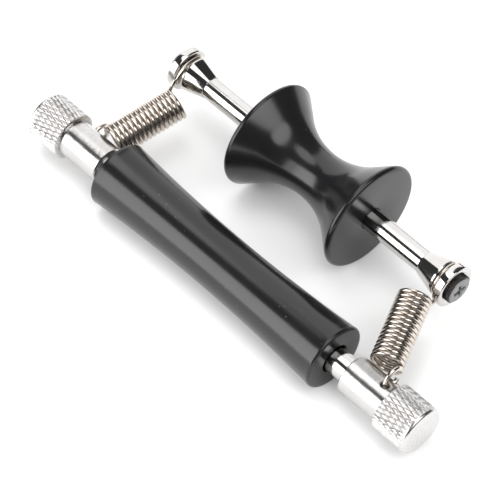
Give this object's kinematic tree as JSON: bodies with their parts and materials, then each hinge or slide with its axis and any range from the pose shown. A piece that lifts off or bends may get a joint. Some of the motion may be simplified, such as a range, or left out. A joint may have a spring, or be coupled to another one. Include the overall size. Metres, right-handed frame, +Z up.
{
  "type": "rolling guitar capo",
  "caption": "Rolling guitar capo: a long rubber string roller and a short hourglass neck roller drawn together by extension springs at their ends.",
  "frame": {"origin": "middle of the object's box, on the surface that both rollers rest on", "axes": "+X along both rollers, +Y from the string roller to the neck roller, +Z up"},
  "size_m": [0.115, 0.0488, 0.0257],
  "materials": {
    "nickel_bar": "polished nickel plate on ground bar",
    "nickel_satin": "nickel plate, lightly brushed round the axis",
    "nickel_polished": "bright polished nickel plate",
    "knurled_nickel": "diamond knurl, satin nickel plate, turned flat end",
    "stud_steel": "plain turned thread stock",
    "spring_wire": "nickel-plated music wire",
    "screw_steel": "dark head with a satin face",
    "black_rubber": "smooth moulded, semi-gloss",
    "core_tube": "plain drawn tube",
    "bush_plastic": "moulded acetal"
  },
  "bodies": {
    "rod_frame": {"string_rod": "nickel_bar", "collar_left": "nickel_satin", "collar_right": "nickel_satin"},
    "string_bushes": {"bush_left": "bush_plastic", "bush_right": "bush_plastic"},
    "string_roller": {"string_roller_sleeve": "black_rubber", "string_roller_core": "core_tube"},
    "stud_left": {"knob_stud_left": "stud_steel"},
    "stud_right": {"knob_stud_right": "stud_steel"},
    "knob_left_body": {"knob_left": "knurled_nickel"},
    "knob_right_body": {"knob_right": "knurled_nickel"},
    "springs": {"spring_left": "spring_wire", "spring_right": "spring_wire"},
    "neck_roller": {"neck_axle": "nickel_bar", "neck_roller_cover": "black_rubber", "neck_roller_core": "core_tube", "cone_left": "nickel_polished", "cone_right": "nickel_polished", "cap_left": "nickel_polished", "cap_right": "nickel_polished", "end_screw_left": "screw_steel", "end_screw_right": "screw_steel"}
  },
  "joints": [
    {"name": "string_roller_float", "type": "slide", "parent": "rod_frame", "child": "string_bushes", "axis": [1, 0, 0], "range_m": [-0.0012, 0.0038]},
    {"name": "string_roller_spin", "type": "hinge", "parent": "string_bushes", "child": "string_roller", "pos_m": [0, -0.01665, 0.0078], "axis": [1, 0, 0], "continuous": true},
    {"name": "spring_stretch", "type": "slide", "parent": "rod_frame", "child": "springs", "axis": [0, 0.9844, 0.176], "range_m": [0, 0.012], "stiffness_N_per_m": 4300, "deforming": ["spring_left", "spring_right"]},
    {"name": "neck_roller_spin", "type": "hinge", "parent": "springs", "child": "neck_roller", "pos_m": [0, 0.0116, 0.01285], "axis": [1, 0, 0], "continuous": true},
    {"name": "knob_left_travel", "type": "slide", "parent": "rod_frame", "child": "stud_left", "axis": [-1, 0, 0], "range_m": [0, 0.002]},
    {"name": "knob_left_turn", "type": "hinge", "parent": "stud_left", "child": "knob_left_body", "pos_m": [0, -0.01665, 0.0078], "axis": [-1, 0, 0], "range_deg": [0, 1440]},
    {"name": "knob_right_travel", "type": "slide", "parent": "rod_frame", "child": "stud_right", "axis": [1, 0, 0], "range_m": [0, 0.002]},
    {"name": "knob_right_turn", "type": "hinge", "parent": "stud_right", "child": "knob_right_body", "pos_m": [0, -0.01665, 0.0078], "axis": [1, 0, 0], "range_deg": [0, 1440]}
  ],
  "couplings": [
    {"joint": "knob_left_turn", "follows": "knob_left_travel", "rad_per_m": 12566},
    {"joint": "knob_right_turn", "follows": "knob_right_travel", "rad_per_m": 12566}
  ]
}
